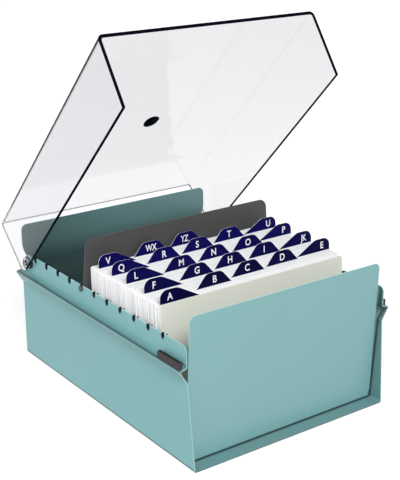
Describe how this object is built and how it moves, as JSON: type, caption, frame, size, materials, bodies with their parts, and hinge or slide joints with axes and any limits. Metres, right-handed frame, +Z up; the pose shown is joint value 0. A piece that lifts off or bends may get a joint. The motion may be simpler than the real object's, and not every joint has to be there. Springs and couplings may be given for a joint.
{
  "type": "index card file box",
  "caption": "Open sheet-metal index card file box with notched side rails, sliding follower plate, lettered tab guides with cards between, and a clear lid hinged at the back.",
  "frame": {"origin": "centre of the flat underside of the box", "axes": "+Z up, +Y from the front of the box to the lid hinge, +X to the right seen from the front"},
  "size_m": [0.2326, 0.312, 0.3435],
  "materials": {
    "teal_paint": "satin",
    "clear_plastic": "polished",
    "black_rubber": "matte",
    "grey_rubber": "matte",
    "grey_plastic": "satin",
    "cream_card": "matte",
    "white_card": "matte",
    "guide_card": "matte"
  },
  "bodies": {
    "base": {"base_shell": "teal_paint", "front_panel": "teal_paint", "back_panel": "teal_paint", "hinge_washer_left": "black_rubber", "hinge_washer_right": "black_rubber", "lid_rest_left": "grey_rubber", "lid_rest_right": "grey_rubber"},
    "lid": {"lid": "clear_plastic"},
    "follower": {"follower_plate": "grey_plastic"},
    "front_card": {"front_card": "cream_card"},
    "section_a": {"guide_a": "guide_card", "cards_a": "white_card"},
    "section_b": {"guide_b": "guide_card", "cards_b": "white_card"},
    "section_c": {"guide_c": "guide_card", "cards_c": "white_card"},
    "section_d": {"guide_d": "guide_card", "cards_d": "white_card"},
    "section_e": {"guide_e": "guide_card", "cards_e": "white_card"},
    "section_f": {"guide_f": "guide_card", "cards_f": "white_card"},
    "section_g": {"guide_g": "guide_card", "cards_g": "white_card"},
    "section_h": {"guide_h": "guide_card", "cards_h": "white_card"},
    "section_i": {"guide_i": "guide_card", "cards_i": "white_card"},
    "section_jk": {"guide_jk": "guide_card", "cards_jk": "white_card"},
    "section_l": {"guide_l": "guide_card", "cards_l": "white_card"},
    "section_m": {"guide_m": "guide_card", "cards_m": "white_card"},
    "section_n": {"guide_n": "guide_card", "cards_n": "white_card"},
    "section_o": {"guide_o": "guide_card", "cards_o": "white_card"},
    "section_p": {"guide_p": "guide_card", "cards_p": "white_card"},
    "section_q": {"guide_q": "guide_card", "cards_q": "white_card"},
    "section_r": {"guide_r": "guide_card", "cards_r": "white_card"},
    "section_s": {"guide_s": "guide_card", "cards_s": "white_card"},
    "section_t": {"guide_t": "guide_card", "cards_t": "white_card"},
    "section_u": {"guide_u": "guide_card", "cards_u": "white_card"},
    "section_v": {"guide_v": "guide_card", "cards_v": "white_card"},
    "section_wx": {"guide_wx": "guide_card", "cards_wx": "white_card"},
    "section_yz": {"guide_yz": "guide_card", "cards_yz": "white_card"}
  },
  "joints": [
    {"name": "lid_hinge", "type": "hinge", "parent": "base", "child": "lid", "pos_m": [0, 0.12275, 0.103], "axis": [-1, 0, 0], "range_deg": [-47.4, 47.5]},
    {"name": "follower_lift", "type": "slide", "parent": "base", "child": "follower", "axis": [0, 0.0698, 0.9976], "range_m": [0, 0.12]},
    {"name": "front_card_lift", "type": "slide", "parent": "base", "child": "front_card", "axis": [0, 0.0698, 0.9976], "range_m": [0, 0.12]},
    {"name": "section_a_lift", "type": "slide", "parent": "base", "child": "section_a", "axis": [0, 0.0698, 0.9976], "range_m": [0, 0.12]},
    {"name": "section_b_lift", "type": "slide", "parent": "base", "child": "section_b", "axis": [0, 0.0698, 0.9976], "range_m": [0, 0.12]},
    {"name": "section_c_lift", "type": "slide", "parent": "base", "child": "section_c", "axis": [0, 0.0698, 0.9976], "range_m": [0, 0.12]},
    {"name": "section_d_lift", "type": "slide", "parent": "base", "child": "section_d", "axis": [0, 0.0698, 0.9976], "range_m": [0, 0.12]},
    {"name": "section_e_lift", "type": "slide", "parent": "base", "child": "section_e", "axis": [0, 0.0698, 0.9976], "range_m": [0, 0.12]},
    {"name": "section_f_lift", "type": "slide", "parent": "base", "child": "section_f", "axis": [0, 0.0698, 0.9976], "range_m": [0, 0.12]},
    {"name": "section_g_lift", "type": "slide", "parent": "base", "child": "section_g", "axis": [0, 0.0698, 0.9976], "range_m": [0, 0.12]},
    {"name": "section_h_lift", "type": "slide", "parent": "base", "child": "section_h", "axis": [0, 0.0698, 0.9976], "range_m": [0, 0.12]},
    {"name": "section_i_lift", "type": "slide", "parent": "base", "child": "section_i", "axis": [0, 0.0698, 0.9976], "range_m": [0, 0.12]},
    {"name": "section_jk_lift", "type": "slide", "parent": "base", "child": "section_jk", "axis": [0, 0.0698, 0.9976], "range_m": [0, 0.12]},
    {"name": "section_l_lift", "type": "slide", "parent": "base", "child": "section_l", "axis": [0, 0.0698, 0.9976], "range_m": [0, 0.12]},
    {"name": "section_m_lift", "type": "slide", "parent": "base", "child": "section_m", "axis": [0, 0.0698, 0.9976], "range_m": [0, 0.12]},
    {"name": "section_n_lift", "type": "slide", "parent": "base", "child": "section_n", "axis": [0, 0.0698, 0.9976], "range_m": [0, 0.12]},
    {"name": "section_o_lift", "type": "slide", "parent": "base", "child": "section_o", "axis": [0, 0.0698, 0.9976], "range_m": [0, 0.12]},
    {"name": "section_p_lift", "type": "slide", "parent": "base", "child": "section_p", "axis": [0, 0.0698, 0.9976], "range_m": [0, 0.12]},
    {"name": "section_q_lift", "type": "slide", "parent": "base", "child": "section_q", "axis": [0, 0.0698, 0.9976], "range_m": [0, 0.12]},
    {"name": "section_r_lift", "type": "slide", "parent": "base", "child": "section_r", "axis": [0, 0.0698, 0.9976], "range_m": [0, 0.12]},
    {"name": "section_s_lift", "type": "slide", "parent": "base", "child": "section_s", "axis": [0, 0.0698, 0.9976], "range_m": [0, 0.12]},
    {"name": "section_t_lift", "type": "slide", "parent": "base", "child": "section_t", "axis": [0, 0.0698, 0.9976], "range_m": [0, 0.12]},
    {"name": "section_u_lift", "type": "slide", "parent": "base", "child": "section_u", "axis": [0, 0.0698, 0.9976], "range_m": [0, 0.12]},
    {"name": "section_v_lift", "type": "slide", "parent": "base", "child": "section_v", "axis": [0, 0.0698, 0.9976], "range_m": [0, 0.12]},
    {"name": "section_wx_lift", "type": "slide", "parent": "base", "child": "section_wx", "axis": [0, 0.0698, 0.9976], "range_m": [0, 0.12]},
    {"name": "section_yz_lift", "type": "slide", "parent": "base", "child": "section_yz", "axis": [0, 0.0698, 0.9976], "range_m": [0, 0.12]}
  ]
}
